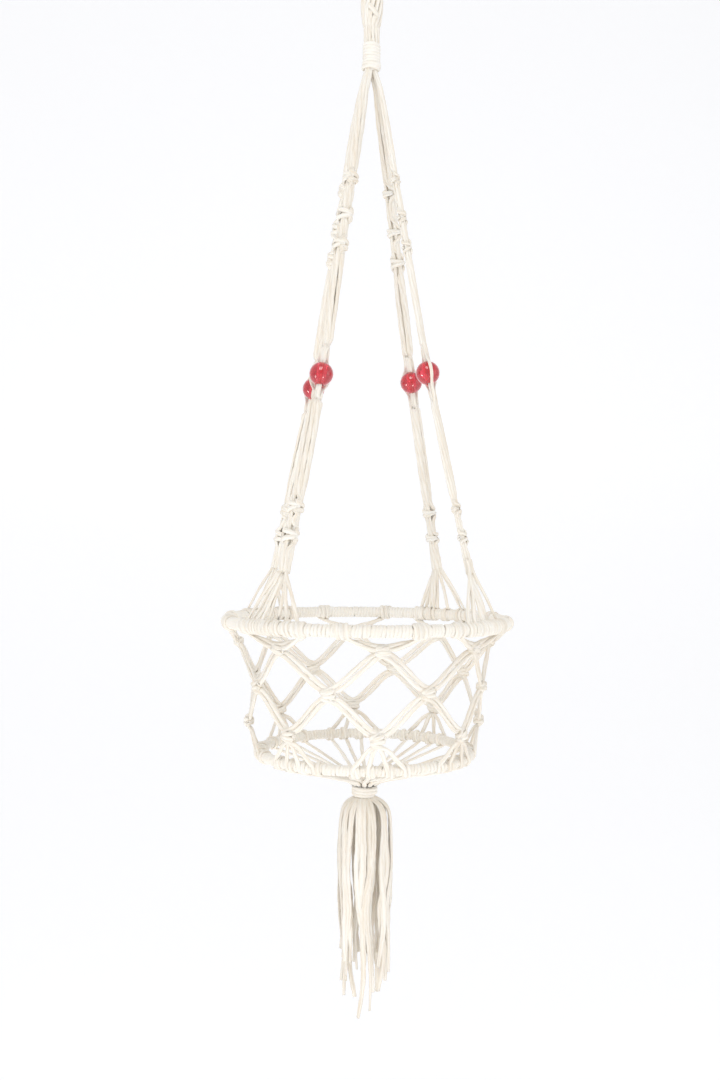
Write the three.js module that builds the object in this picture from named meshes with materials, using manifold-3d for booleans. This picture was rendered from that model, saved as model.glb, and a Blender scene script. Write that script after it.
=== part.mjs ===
// Hanging macrame planter: a cord hanger with four beaded arms, a two-hoop net basket and a tassel.
// Millimetres, +Z up. The origin is the inside top of the hanging loop, where the hook bears.
// Seen from the front, along +Y, the four arms stand on the diagonals of X and Y.

import * as THREE from 'three';
import { mergeVertices } from 'three/addons/utils/BufferGeometryUtils.js';
import Module from 'manifold-3d';

const wasm = await Module();
wasm.setup();

// ---- driving dimensions ----
const GAP = 0.3;
const CORD_D = 3.4;
const CORD_R = CORD_D / 2;
const PAIR_R = 2.8;

const LOOP_BUNDLE_R = 3.7;
const LOOP_HALF_WIDTH = 15;
const LOOP_WIDEST_Z = -21;
const LOOP_NARROWING_Z = -38;
const LOOP_END_Z = -50;
const NECK_R = 7;
const TIE_R = 8.2;
const TIE_PIVOT_Z = -58;
const TIE_END_Z = -76;
const TIE_SHOULDER_Z = -64;
const TIE_CHAMFER = 3;
const PIVOT_CLEARANCE = 0.5;
const NECK_PIVOT_Z = TIE_END_Z - NECK_R - PIVOT_CLEARANCE;
const CROWN_TOP_Z = -89;
const CROWN_END_Z = -115;
const CROWN_R = 7.6;
const CROWN_SWELL = 0.4;
const CROWN_SWELL_LENGTH = 8;
const TURNED_SIDES = 12;

const ARM_NAMES = ['front_left', 'front_right', 'back_right', 'back_left'];
const ARM_FIRST_AZIMUTH = THREE.MathUtils.degToRad(225);
const ARM_TOP_R = 6.2;
const SPLIT_R = 106;
const SPLIT_Z = -546;
// The arms draw in towards the axis at their beads, and each bead sits at a height of its own.
const BEAD_AXIS_R = 63;
const BEAD_Z = { front_left: -385, front_right: -382, back_right: -378, back_left: -386 };
const ARM_TOP_BUNDLE_R = 3.8;
const ARM_BUNDLE_R = 4.6;
const KNOT_R = 6;
const KNOT_HALF_LENGTH = 5;
const KNOT_CREST = 2;
// Knots by their distance down the arm from the crown, and up the arm from the split.
const UPPER_KNOTS = [101.6, 135.5, 162.2];
const LOWER_KNOTS = [51.7, 27.7];
const BEAD_R = 10;
const BEAD_BORE_R = 2.6;
const BEAD_CORE_R = 2.1;
const BEAD_HALF_SPAN = 21.5;
const BEAD_CORE_HALF_SPAN = 16.5;
const BEAD_KNOT_CLEARANCE = 1.5;
// A cord's way round a bead, as its distance from the bead's axis and along it from the middle.
const GUARD_ROUTE = [[2.5, -15], [7.5, -11.5], [12.3, -5], [12.3, 5], [7.5, 11.5], [2.5, 15]];
// Where the two outer cords pass each bead, as azimuths about it.
const GUARD_AZIMUTHS = {
  front_left: [55, 110],
  front_right: [265, 85],
  back_right: [60, 115],
  back_left: [55, 110],
};

const TOP_HOOP_R = 120.5;
const TOP_HOOP_Z = -592;
const TOP_WRAP_R = 5.3;
const BOTTOM_HOOP_R = 90.5;
const BOTTOM_HOOP_Z = -705;
const BOTTOM_WRAP_R = 4.6;
const WRAP_WALL = 1.6;
const SLIT_HALF_ANGLE = 0.22;
const HOOP_SEGMENTS = 32;
const ROUND_SIDES = 8;
const CORD_SIDES = 5;

const RING_CORDS = 8;
const RING_CORDS_HALF_SPREAD = 24;
const COLLAR_LENGTH = 7;
const FOOT_LIFT = 1.2;

const NET_COLUMNS = 8;
// The net's radius and height at its top, at its three rows of knots and at its foot.
const NET_TOP = { radius: 120, z: TOP_HOOP_Z - TOP_WRAP_R - 3.4 };
const ROW_1 = { radius: 110, z: -609 };
const ROW_2 = { radius: 102, z: -643 };
const ROW_3 = { radius: 99, z: -679 };
const NET_FOOT = { radius: BOTTOM_HOOP_R + BOTTOM_WRAP_R + GAP + CORD_R + 0.5, z: BOTTOM_HOOP_Z - 2 };
const NET_KNOT = { across: 5.6, along: 5.4, thick: 3.9 };
const NET_LINK_CLEARANCE = 8.5;
const TOP_LEG_ANGLE = THREE.MathUtils.degToRad(15);
const BOTTOM_LEG_ANGLES = [-13.5, -4.5, 4.5, 13.5].map(THREE.MathUtils.degToRad);

const SPOKES = 16;
const HUB_R = 9;
const HUB_TOP_Z = -727;
const HUB_END_Z = -735;

const TASSEL_WRAP_R = 10;
const TASSEL_PIVOT_Z = HUB_END_Z - TASSEL_WRAP_R - PIVOT_CLEARANCE;
const LOCKS = 8;
const LOCK_R = 4.3;
const LOCK_ENDS_Z = [-912, -922, -905, -927, -915, -908, -929, -918];
// A lock's way down, as its distance from the axis and its drop below the tassel's pivot.
const LOCK_ROUTE = [[12.4, 10], [15.4, 18], [17.8, 36], [18.8, 75], [18.8, 120]];
const LOCK_FOOT_R = 18.4;

// ---- materials ----
const COTTON = 0xe9dfcd;
const COTTON_WRAP = 0xe2d4bc;
const HOOP_WOOD = 0xb98d5a;
const RED_GLASS = 0xa30f14;

const matter = (color, roughness) => new THREE.MeshStandardMaterial({ color, roughness, metalness: 0 });
const cotton = () => matter(COTTON, 0.95);
const wrapCotton = () => matter(COTTON_WRAP, 0.95);
const hoopWood = () => matter(HOOP_WOOD, 0.7);
const redGlass = () => matter(RED_GLASS, 0.12);

// ---- solids ----

// A point given by its distance from the axis, its azimuth and its height.
function polar(radius, azimuth, z) {
  return new THREE.Vector3(radius * Math.cos(azimuth), radius * Math.sin(azimuth), z);
}

// A geometry with its shared vertices merged, so that its surface closes.
function closed(geometry) {
  const bare = geometry.clone();
  bare.deleteAttribute('normal');
  bare.deleteAttribute('uv');
  return mergeVertices(bare, 1e-4);
}

function toSolid(geometry) {
  const merged = closed(geometry);
  return new wasm.Manifold(new wasm.Mesh({
    numProp: 3,
    vertProperties: new Float32Array(merged.attributes.position.array),
    triVerts: new Uint32Array(merged.index.array),
  }));
}

function toGeometry(solid) {
  const mesh = solid.getMesh();
  const geometry = new THREE.BufferGeometry();
  geometry.setAttribute('position', new THREE.BufferAttribute(mesh.vertProperties, 3));
  geometry.setIndex(new THREE.BufferAttribute(mesh.triVerts, 1));
  return geometry;
}

// One solid from overlapping geometries.
function joined(geometries) {
  return geometries.map(toSolid).reduce((whole, piece) => whole.add(piece));
}

// A round cord or bundle along points, with flat ends.
function strand(points, radius, sides = CORD_SIDES, steps = points.length - 1) {
  const section = new THREE.Shape();
  for (let i = 0; i < sides; i++) {
    const turn = (2 * Math.PI * i) / sides;
    const corner = [radius * Math.cos(turn), radius * Math.sin(turn)];
    if (i === 0) section.moveTo(...corner);
    else section.lineTo(...corner);
  }
  const path = points.length === 2
    ? new THREE.LineCurve3(points[0], points[1])
    : new THREE.CatmullRomCurve3(points);
  return new THREE.ExtrudeGeometry(section, { steps, extrudePath: path });
}

// A solid of revolution about Z from [radius, z] pairs that rise from the axis back to the axis.
function turned(profile, segments = ROUND_SIDES) {
  const points = profile.map(([radius, z]) => new THREE.Vector2(radius, z));
  return new THREE.LatheGeometry(points, segments).rotateX(Math.PI / 2);
}

// A square knot as a flattened ball: thick is radial, across is along the rim, along is vertical.
function knotBall({ across, along, thick }) {
  return new THREE.SphereGeometry(1, 6, 4).rotateX(Math.PI / 2).scale(thick, across, along);
}

function addMesh(parent, name, geometry, material) {
  const mesh = new THREE.Mesh(geometry, material);
  mesh.name = name;
  parent.add(mesh);
  return mesh;
}

// ---- loop, neck and crown ----

function hangingLoop() {
  const side = LOOP_HALF_WIDTH;
  const half = [
    [3, LOOP_END_Z + 3], [0.6 * side, LOOP_NARROWING_Z], [side, LOOP_WIDEST_Z], [0.76 * side, -4],
  ];
  const mirrored = half.map(([x, z]) => [-x, z]);
  const outline = [...mirrored, [0, LOOP_BUNDLE_R], ...half.reverse()];
  const route = outline.map(([x, z]) => new THREE.Vector3(x, 0, z));
  const eye = strand(route, LOOP_BUNDLE_R, ROUND_SIDES, 20);
  const gathered = [
    [0, LOOP_END_Z], [NECK_R, LOOP_END_Z], [NECK_R, LOOP_END_Z + 5], [0, LOOP_END_Z + 9],
  ];
  return toGeometry(joined([eye, turned(gathered, TURNED_SIDES)]));
}

// The upper quarter circle of a ball, from its rim to the axis, as [radius, z] pairs.
function domeProfile(radius, centreZ, steps = 4) {
  const profile = [];
  for (let i = 0; i <= steps; i++) {
    const angle = (Math.PI / 2) * (i / steps);
    profile.push([radius * Math.cos(angle), centreZ + radius * Math.sin(angle)]);
  }
  profile[steps][0] = 0;
  return profile;
}

// The short binding under the loop: a ball top that turns under the loop's flat end.
function neckBinding() {
  const lower = [
    [0, TIE_END_Z], [NECK_R, TIE_END_Z], [TIE_R, TIE_END_Z + TIE_CHAMFER], [TIE_R, TIE_SHOULDER_Z],
  ];
  const dome = domeProfile(TIE_R - 0.7, TIE_PIVOT_Z);
  return turned([...lower, ...dome], TURNED_SIDES);
}

function neckCords() {
  const end = CROWN_TOP_Z + GAP;
  return turned([[0, end], [NECK_R, end], ...domeProfile(NECK_R, NECK_PIVOT_Z)], TURNED_SIDES);
}

function crownWrap() {
  const top = CROWN_TOP_Z;
  const end = CROWN_END_Z;
  const profile = [
    [0, end], [CROWN_R - 0.5, end], [CROWN_R + CROWN_SWELL, end + 3],
    [CROWN_R, end + CROWN_SWELL_LENGTH], [CROWN_R, top - 2], [CROWN_R - 0.6, top], [0, top],
  ];
  return turned(profile, TURNED_SIDES);
}

// ---- arms ----

// A straight run of an arm between two points of its plane, each given as { radius, z }.
function run(from, to) {
  const tilt = Math.atan2(to.radius - from.radius, from.z - to.z);
  return { from, tilt, length: Math.hypot(to.radius - from.radius, from.z - to.z) };
}

// A group at a run's start whose -Z runs down the arm, so that distances run down from there.
function runGroup(parent, { from, tilt }) {
  const group = new THREE.Group();
  group.position.set(from.radius, 0, from.z);
  group.rotation.y = -tilt;
  parent.add(group);
  return group;
}

// The three straight runs of an arm: crown to bead, past the bead, and bead to split.
function armRuns(name) {
  const top = { radius: ARM_TOP_R, z: CROWN_END_Z };
  const split = { radius: SPLIT_R, z: SPLIT_Z };
  const tilt = run(top, split).tilt;
  const beadPoint = (along) => ({
    radius: BEAD_AXIS_R + along * Math.sin(tilt),
    z: BEAD_Z[name] - along * Math.cos(tilt),
  });
  const beadStart = beadPoint(-BEAD_HALF_SPAN);
  const beadEnd = beadPoint(BEAD_HALF_SPAN);
  return { upper: run(top, beadStart), past: run(beadStart, beadEnd), lower: run(beadEnd, split) };
}

function bundle(from, to, topRadius = ARM_BUNDLE_R, endRadius = ARM_BUNDLE_R) {
  return turned([[0, -to], [endRadius, -to], [topRadius, -from], [0, -from]]);
}

// Square knots on a bundle that runs from one distance to another.
function knottedBundle(from, to, knots) {
  const knotRing = (distance) => turned([
    [0, -distance - KNOT_HALF_LENGTH], [ARM_BUNDLE_R, -distance - KNOT_HALF_LENGTH],
    [KNOT_R, -distance - KNOT_CREST], [KNOT_R, -distance + KNOT_CREST],
    [ARM_BUNDLE_R, -distance + KNOT_HALF_LENGTH], [0, -distance + KNOT_HALF_LENGTH],
  ]);
  const core = bundle(from, to, ARM_BUNDLE_R - 0.4, ARM_BUNDLE_R - 0.4);
  return toGeometry(joined([core, ...knots.map(knotRing)]));
}

// The cords at a bead: a knot above and below it, core cords through it and two cords round it.
function beadCords(guardAngles) {
  const middle = BEAD_HALF_SPAN;
  const knotFace = BEAD_R + BEAD_KNOT_CLEARANCE;
  const above = bundle(GAP, middle - knotFace);
  const below = bundle(middle + knotFace, 2 * middle);
  const coreFrom = middle - BEAD_CORE_HALF_SPAN;
  const core = bundle(coreFrom, middle + BEAD_CORE_HALF_SPAN, BEAD_CORE_R, BEAD_CORE_R);
  const guards = guardAngles.map((angle) => {
    const points = GUARD_ROUTE.map(([out, along]) => polar(out, angle, -(middle + along)));
    return strand(points, CORD_R, CORD_SIDES, 8);
  });
  return toGeometry(joined([above, below, core, ...guards]));
}

// A glass bead: a ball with a bore clear of the core cords, and slightly rounded mouths.
function bead() {
  const profile = [];
  const steps = 7;
  const mouth = Math.asin(BEAD_BORE_R / BEAD_R);
  for (let i = 0; i <= steps; i++) {
    const polarAngle = mouth + (Math.PI - 2 * mouth) * (i / steps);
    profile.push([BEAD_R * Math.sin(polarAngle), -BEAD_R * Math.cos(polarAngle)]);
  }
  profile.push(profile[0]);
  return turned(profile, TURNED_SIDES).translate(0, 0, -BEAD_HALF_SPAN);
}

// The eight cords of an arm from its split down to the top hoop, as a fan along the hoop.
function ringCords(tilt) {
  const top = new THREE.Vector3(SPLIT_R, 0, SPLIT_Z - GAP);
  const footZ = TOP_HOOP_Z + TOP_WRAP_R + GAP + FOOT_LIFT;
  const fan = [];
  for (let i = 0; i < RING_CORDS; i++) {
    const share = (2 * i) / (RING_CORDS - 1) - 1;
    const foot = polar(TOP_HOOP_R, (share * RING_CORDS_HALF_SPREAD) / TOP_HOOP_R, footZ);
    const start = top.clone().add(new THREE.Vector3(0, share * (ARM_BUNDLE_R - CORD_R), 0));
    fan.push(strand([start, foot], CORD_R));
  }
  const collar = bundle(0, COLLAR_LENGTH).rotateY(-tilt).translate(top.x, 0, top.z);
  return toGeometry(joined([collar, ...fan]));
}

function addArm(parent, name, azimuth) {
  const arm = new THREE.Group();
  arm.rotation.z = azimuth;
  parent.add(arm);
  const { upper, past, lower } = armRuns(name);
  const upperGroup = runGroup(arm, upper);
  const beadGroup = runGroup(arm, past);
  const lowerGroup = runGroup(arm, lower);

  const knotMargin = KNOT_HALF_LENGTH + 1;
  const knotsFrom = UPPER_KNOTS[0] - knotMargin;
  const knotsTo = UPPER_KNOTS[2] + knotMargin;
  const upperCords = bundle(2, knotsFrom - GAP, ARM_TOP_BUNDLE_R, ARM_BUNDLE_R);
  addMesh(upperGroup, `${name}_upper_cords`, upperCords, cotton());
  const upperKnots = knottedBundle(knotsFrom, knotsTo, UPPER_KNOTS);
  addMesh(upperGroup, `${name}_upper_knots`, upperKnots, cotton());
  addMesh(upperGroup, `${name}_middle_cords`, bundle(knotsTo + GAP, upper.length), cotton());

  const guardAngles = GUARD_AZIMUTHS[name].map((degrees) => THREE.MathUtils.degToRad(degrees) - azimuth);
  addMesh(beadGroup, `${name}_bead_cords`, beadCords(guardAngles), cotton());
  addMesh(beadGroup, `${name}_bead`, bead(), redGlass());

  const lowerKnots = LOWER_KNOTS.map((distance) => lower.length - distance);
  const lowerFrom = lowerKnots[0] - knotMargin;
  addMesh(lowerGroup, `${name}_lower_cords`, bundle(GAP, lowerFrom - GAP), cotton());
  const lowerPiece = knottedBundle(lowerFrom, lower.length - 1, lowerKnots);
  addMesh(lowerGroup, `${name}_lower_knots`, lowerPiece, cotton());
  addMesh(arm, `${name}_ring_cords`, ringCords(lower.tilt), cotton());
}

// ---- hoops ----

// A closed round ring about Z.
function hoopRing(radius, z, sectionRadius, sides) {
  const profile = [];
  for (let i = 0; i <= sides; i++) {
    const angle = (2 * Math.PI * i) / sides;
    profile.push([radius + sectionRadius * Math.cos(angle), z + sectionRadius * Math.sin(angle)]);
  }
  profile[sides] = profile[0];
  return turned(profile, HOOP_SEGMENTS);
}

// The cord wound round a hoop, as a sleeve with a slit along its inner side.
function hoopWrap(radius, z, wrapRadius) {
  const innerRadius = wrapRadius - WRAP_WALL;
  const arc = (sectionRadius, sides, forward) => {
    const points = [];
    for (let i = 0; i <= sides; i++) {
      const share = forward ? i / sides : 1 - i / sides;
      const angle = -Math.PI + SLIT_HALF_ANGLE + share * 2 * (Math.PI - SLIT_HALF_ANGLE);
      points.push([radius + sectionRadius * Math.cos(angle), z + sectionRadius * Math.sin(angle)]);
    }
    return points;
  };
  const profile = [...arc(wrapRadius, 9, true), ...arc(innerRadius, 6, false)];
  profile.push(profile[0]);
  return turned(profile, HOOP_SEGMENTS);
}

function addHoop(parent, name, radius, z, wrapRadius) {
  const coreRadius = (wrapRadius - WRAP_WALL) * Math.cos(Math.PI / 6) - GAP;
  addMesh(parent, name, hoopRing(radius, z, coreRadius, 6), hoopWood());
  addMesh(parent, `${name}_wrap`, hoopWrap(radius, z, wrapRadius), wrapCotton());
}

// ---- net ----

function netPoint(azimuth, { radius, z }) {
  return polar(radius, azimuth, z);
}

function netKnot(azimuth, row) {
  const centre = netPoint(azimuth, row);
  return knotBall(NET_KNOT).rotateZ(azimuth).translate(centre.x, centre.y, centre.z);
}

// One column of the net: its knots in rows 1 and 3, the row 2 knot on its left-hand side going
// round, and their cords. Two cords end just short of the next columns' knots.
function netColumn() {
  const step = (2 * Math.PI) / NET_COLUMNS;
  const row1 = netPoint(0, ROW_1);
  const row2 = netPoint(step / 2, ROW_2);
  const row2Behind = netPoint(-step / 2, ROW_2);
  const row3 = netPoint(0, ROW_3);
  const row3Ahead = netPoint(step, ROW_3);
  const topLegs = [-1, 1].map((side) => strand([netPoint(side * TOP_LEG_ANGLE, NET_TOP), row1], PAIR_R));
  const links = [
    [row1, row2], [row1, shortOf(row1, row2Behind)],
    [row2, row3], [row2, shortOf(row2, row3Ahead)],
  ].map((ends) => strand(ends, PAIR_R));
  const bottomLegs = BOTTOM_LEG_ANGLES.map((angle) => strand([row3, netPoint(angle, NET_FOOT)], CORD_R));
  const knots = [netKnot(0, ROW_1), netKnot(step / 2, ROW_2), netKnot(0, ROW_3)];
  return toGeometry(joined([...topLegs, ...links, ...bottomLegs, ...knots]));
}

// The point on the way to a neighbouring knot where a cord pair stops clear of it.
function shortOf(from, to) {
  const along = to.clone().sub(from);
  return from.clone().add(along.setLength(along.length() - NET_LINK_CLEARANCE));
}

// ---- base and tassel ----

// The cords from the bottom hoop to the middle, gathered in a hub.
function baseWeb() {
  const startZ = BOTTOM_HOOP_Z - BOTTOM_WRAP_R - GAP - CORD_R;
  const spokes = [];
  for (let i = 0; i < SPOKES; i++) {
    const azimuth = (2 * Math.PI * (i + 0.5)) / SPOKES;
    const rim = polar(BOTTOM_HOOP_R, azimuth, startZ);
    const middle = polar(HUB_R - 3, azimuth, (HUB_TOP_Z + HUB_END_Z) / 2);
    spokes.push(strand([rim, middle], CORD_R));
  }
  const hub = [[0, HUB_END_Z], [HUB_R, HUB_END_Z], [HUB_R, HUB_TOP_Z - 2], [0, HUB_TOP_Z]];
  return toGeometry(joined([turned(hub, TURNED_SIDES), ...spokes]));
}

function tasselWrap() {
  const ball = new THREE.SphereGeometry(TASSEL_WRAP_R, TURNED_SIDES, 8);
  return ball.rotateX(Math.PI / 2).translate(0, 0, TASSEL_PIVOT_Z);
}

// A lock of four tassel cords, hanging from the underside of the wrap.
function tasselLock(index) {
  const azimuth = (2 * Math.PI * (index + 0.5)) / LOCKS;
  const drop = TASSEL_PIVOT_Z - LOCK_ENDS_Z[index];
  const route = [...LOCK_ROUTE, [LOCK_FOOT_R, drop]];
  const points = route.map(([radius, down]) => polar(radius, azimuth, TASSEL_PIVOT_Z - down));
  return strand(points, LOCK_R, ROUND_SIDES, 8);
}

// ---- assembly ----

const planter = new THREE.Group();

addMesh(planter, 'hanging_loop', hangingLoop(), cotton());
addMesh(planter, 'neck_binding', neckBinding(), wrapCotton());
addMesh(planter, 'neck_cords', neckCords(), cotton());
addMesh(planter, 'crown_wrap', crownWrap(), wrapCotton());

ARM_NAMES.forEach((name, index) => {
  addArm(planter, name, ARM_FIRST_AZIMUTH + (index * 2 * Math.PI) / ARM_NAMES.length);
});

addHoop(planter, 'top_hoop', TOP_HOOP_R, TOP_HOOP_Z, TOP_WRAP_R);
addHoop(planter, 'bottom_hoop', BOTTOM_HOOP_R, BOTTOM_HOOP_Z, BOTTOM_WRAP_R);

for (let i = 0; i < NET_COLUMNS; i++) {
  const mesh = addMesh(planter, `net_column_${i + 1}`, netColumn(), cotton());
  mesh.rotation.z = ARM_FIRST_AZIMUTH + (2 * Math.PI * i) / NET_COLUMNS;
}

addMesh(planter, 'base_web', baseWeb(), cotton());
addMesh(planter, 'tassel_wrap', tasselWrap(), wrapCotton());
for (let i = 0; i < LOCKS; i++) {
  addMesh(planter, `tassel_lock_${i + 1}`, tasselLock(i), cotton());
}

export default planter;
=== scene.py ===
"""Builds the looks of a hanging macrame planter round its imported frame: cords, knots, hoops, beads."""

import math
import random

import bmesh
import bpy
from bpy.props import FloatProperty, FloatVectorProperty, IntProperty
from mathutils import Matrix, Vector


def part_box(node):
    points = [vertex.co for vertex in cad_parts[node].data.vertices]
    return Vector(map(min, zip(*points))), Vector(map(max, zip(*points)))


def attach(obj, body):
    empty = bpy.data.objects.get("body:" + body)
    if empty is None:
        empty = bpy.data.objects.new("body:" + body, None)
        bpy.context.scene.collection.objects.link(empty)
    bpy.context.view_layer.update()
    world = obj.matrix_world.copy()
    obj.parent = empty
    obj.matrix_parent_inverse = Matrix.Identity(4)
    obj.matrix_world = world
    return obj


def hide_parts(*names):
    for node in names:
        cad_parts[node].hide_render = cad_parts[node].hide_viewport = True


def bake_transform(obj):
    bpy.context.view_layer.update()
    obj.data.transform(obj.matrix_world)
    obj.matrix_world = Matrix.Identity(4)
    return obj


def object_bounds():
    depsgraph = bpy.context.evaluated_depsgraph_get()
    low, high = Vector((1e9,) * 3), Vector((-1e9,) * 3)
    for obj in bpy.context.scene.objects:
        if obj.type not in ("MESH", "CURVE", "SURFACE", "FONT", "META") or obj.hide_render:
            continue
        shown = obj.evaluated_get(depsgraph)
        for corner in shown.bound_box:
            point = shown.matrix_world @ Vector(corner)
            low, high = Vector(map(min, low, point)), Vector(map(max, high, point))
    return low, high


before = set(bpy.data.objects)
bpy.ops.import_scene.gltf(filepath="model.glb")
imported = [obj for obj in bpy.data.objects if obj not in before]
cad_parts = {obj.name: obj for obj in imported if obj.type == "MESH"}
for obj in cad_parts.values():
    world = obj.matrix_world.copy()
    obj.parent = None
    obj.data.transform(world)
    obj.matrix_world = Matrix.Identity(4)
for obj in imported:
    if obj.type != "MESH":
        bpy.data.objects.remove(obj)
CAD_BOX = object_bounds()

bl_info = {
    "name": "Hanging Macrame Planter",
    "version": (1, 0, 0),
    "blender": (4, 5, 0),
    "location": "View3D > Sidebar > Planter",
    "description": "Models a knotted cotton plant hanger with beads, hoops, net and tassel",
    "category": "Object",
}

MM = 0.001
UP = Vector((0, 0, 1))

ARMS = ("front_left", "front_right", "back_right", "back_left")
ARM_AZIMUTHS = {name: math.radians(225 + 90 * i) for i, name in enumerate(ARMS)}
NET_COLUMNS = 8
COLUMN_STEP = 2 * math.pi / NET_COLUMNS
COLUMN_AZIMUTHS = [math.radians(225) + COLUMN_STEP * i for i in range(NET_COLUMNS)]

# Heights that the routes share with the frame, in metres.
NECK_TOP_Z, NECK_END_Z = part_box("neck_binding")[1].z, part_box("neck_binding")[0].z
CROWN_TOP_Z, CROWN_END_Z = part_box("crown_wrap")[1].z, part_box("crown_wrap")[0].z
TOP_HOOP_Z = sum(v.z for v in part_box("top_hoop")) / 2
BOTTOM_HOOP_Z = sum(v.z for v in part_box("bottom_hoop")) / 2
TASSEL_Z = sum(v.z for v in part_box("tassel_wrap")) / 2
LOCKS = 8
LOCK_ENDS_Z = [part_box(f"tassel_lock_{i + 1}")[0].z for i in range(LOCKS)]

ARM_TOP_R = 6.2 * MM
SPLIT_R = 106 * MM
SPLIT_Z = -546 * MM
UPPER_KNOTS = (101.6 * MM, 135.5 * MM, 162.2 * MM)
LOWER_KNOTS = (51.7 * MM, 27.7 * MM)
BEAD_R = 10 * MM
BEAD_BORE_R = 2.6 * MM
TOP_HOOP_R = 120.5 * MM
TOP_WRAP_R = 5.3 * MM
BOTTOM_HOOP_R = 90.5 * MM
BOTTOM_WRAP_R = 4.6 * MM
# How far a hitched cord lies off a hoop's winding, and how far each of its turns moves along.
HITCH_LIFT = 0.25 * MM
HITCH_PITCH = 3.4 * MM
# The net's radius and height at each row of knots.
ROWS = ((110 * MM, -609 * MM), (102 * MM, -643 * MM), (100.5 * MM, -679 * MM))
HUB_Z = -731 * MM


def linear(code):
    """An sRGB hex colour as linear red, green, blue and one."""
    parts = [int(code[i : i + 2], 16) / 255 for i in (0, 2, 4)]
    return tuple(c / 12.92 if c <= 0.04045 else ((c + 0.055) / 1.055) ** 2.4 for c in parts) + (1.0,)


def polar(radius, azimuth, z=0.0):
    return Vector((radius * math.cos(azimuth), radius * math.sin(azimuth), z))


# ---- settings ----


class PlanterSizes(bpy.types.PropertyGroup):
    cord_width: FloatProperty(
        name="Cord width", description="Width of the soft cord where it lies flat",
        default=3.9 * MM, unit="LENGTH",
    )
    cord_thickness: FloatProperty(
        name="Cord thickness", description="Thickness of the soft cord where it lies flat",
        default=2.7 * MM, unit="LENGTH",
    )
    wrap_pitch: FloatProperty(
        name="Wrap pitch", description="Length of hoop that one turn covers",
        default=2.9 * MM, unit="LENGTH",
    )
    strand_width: FloatProperty(
        name="Tassel strand", description="Width of a tassel strand", default=5.4 * MM, unit="LENGTH"
    )
    bead_segments: IntProperty(
        name="Bead segments", description="Facets round a glass bead", default=48, min=16, max=96
    )


class PlanterColours(bpy.types.PropertyGroup):
    cotton: FloatVectorProperty(
        name="Cotton", description="Undyed cotton cord", subtype="COLOR", size=4, default=linear("F3EFE7")
    )
    # Painted shade: this darker tan colour is painted into the grooves between the yarns, and it is also
    # the colour of random stains, fibres and per-cord tone.
    cotton_painted_shade_and_stain: FloatVectorProperty(
        name="Cotton shade", description="Cotton between the yarns", subtype="COLOR", size=4,
        default=linear("D9C8AE"),
    )
    bead: FloatVectorProperty(
        name="Bead", description="Red glass", subtype="COLOR", size=4, default=linear("FA1E40")
    )
    hoop: FloatVectorProperty(
        name="Hoop", description="Bent cane inside the winding", subtype="COLOR", size=4,
        default=linear("C9A87C"),
    )
    backdrop: FloatVectorProperty(
        name="Backdrop", description="Studio paper", subtype="COLOR", size=4, default=linear("F8F8F9")
    )


# ---- routes ----


def smooth_route(points, spacing, facing=None):
    """Evenly spaced points on a smooth curve through the given ones, and their facings if given.

    The curve is a centripetal Catmull-Rom spline, which doesn't loop where points stand close."""
    rows = [list(p) + list(facing[i] if facing else (0, 0, 0)) for i, p in enumerate(points)]
    ahead = [2 * b - a for a, b in zip(rows[-2], rows[-1])]
    before = [2 * a - b for a, b in zip(rows[0], rows[1])]
    padded = [before] + rows + [ahead]
    gaps = [math.sqrt(max(math.dist(p[:3], q[:3]), 1e-5)) for p, q in zip(padded, padded[1:])]
    dense = []
    for i in range(1, len(padded) - 2):
        a, b, c, d = padded[i - 1:i + 3]
        g, h, k = gaps[i - 1:i + 2]
        leave = [h * ((q - p) / g - (r - p) / (g + h)) + r - q for p, q, r in zip(a, b, c)]
        enter = [r - q - h * ((s - q) / (h + k) - (s - r) / k) for q, r, s in zip(b, c, d)]
        steps = max(3, math.ceil(math.dist(b[:3], c[:3]) / spacing) * 3)
        for j in range(steps):
            t = j / steps
            u = 1 - t
            dense.append([
                u * u * (1 + 2 * t) * q + t * t * (3 - 2 * t) * r + u * u * t * m - t * t * u * n
                for q, r, m, n in zip(b, c, leave, enter)
            ])
    dense.append(rows[-1])
    lengths = [0.0]
    for p, q in zip(dense, dense[1:]):
        lengths.append(lengths[-1] + math.dist(p[:3], q[:3]))
    count = max(2, round(lengths[-1] / spacing))
    route, faces, k = [], [], 0
    for i in range(count + 1):
        target = lengths[-1] * i / count
        while k < len(dense) - 2 and lengths[k + 1] < target:
            k += 1
        span = lengths[k + 1] - lengths[k]
        share = min(max((target - lengths[k]) / span, 0), 1) if span > 0 else 0
        both = [a + (b - a) * share for a, b in zip(dense[k], dense[k + 1])]
        route.append(Vector(both[:3]))
        faces.append(Vector(both[3:]))
    return (route, faces) if facing else route


def frames_along(route, facing=None):
    """The section's two directions at each point: carried along, or the first towards facing."""
    frames, normal = [], None
    last = len(route) - 1
    for i in range(len(route)):
        tangent = (route[min(i + 1, last)] - route[max(i - 1, 0)]).normalized()
        wanted = facing[i] if facing is not None else normal or tangent.orthogonal()
        flat = wanted - tangent * wanted.dot(tangent)
        if flat.length > 1e-6:
            normal = flat.normalized()
        frames.append((normal, tangent.cross(normal).normalized()))
    return frames


class Cord:
    """One cord of a piece: its route, its section's half width and half thickness, and its facing."""

    def __init__(self, route, half_width, half_thickness=None, facing=None, swell=None):
        self.route = route
        self.half_width = half_width
        self.half_thickness = half_thickness or half_width
        self.facing = facing
        self.swell = swell


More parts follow.
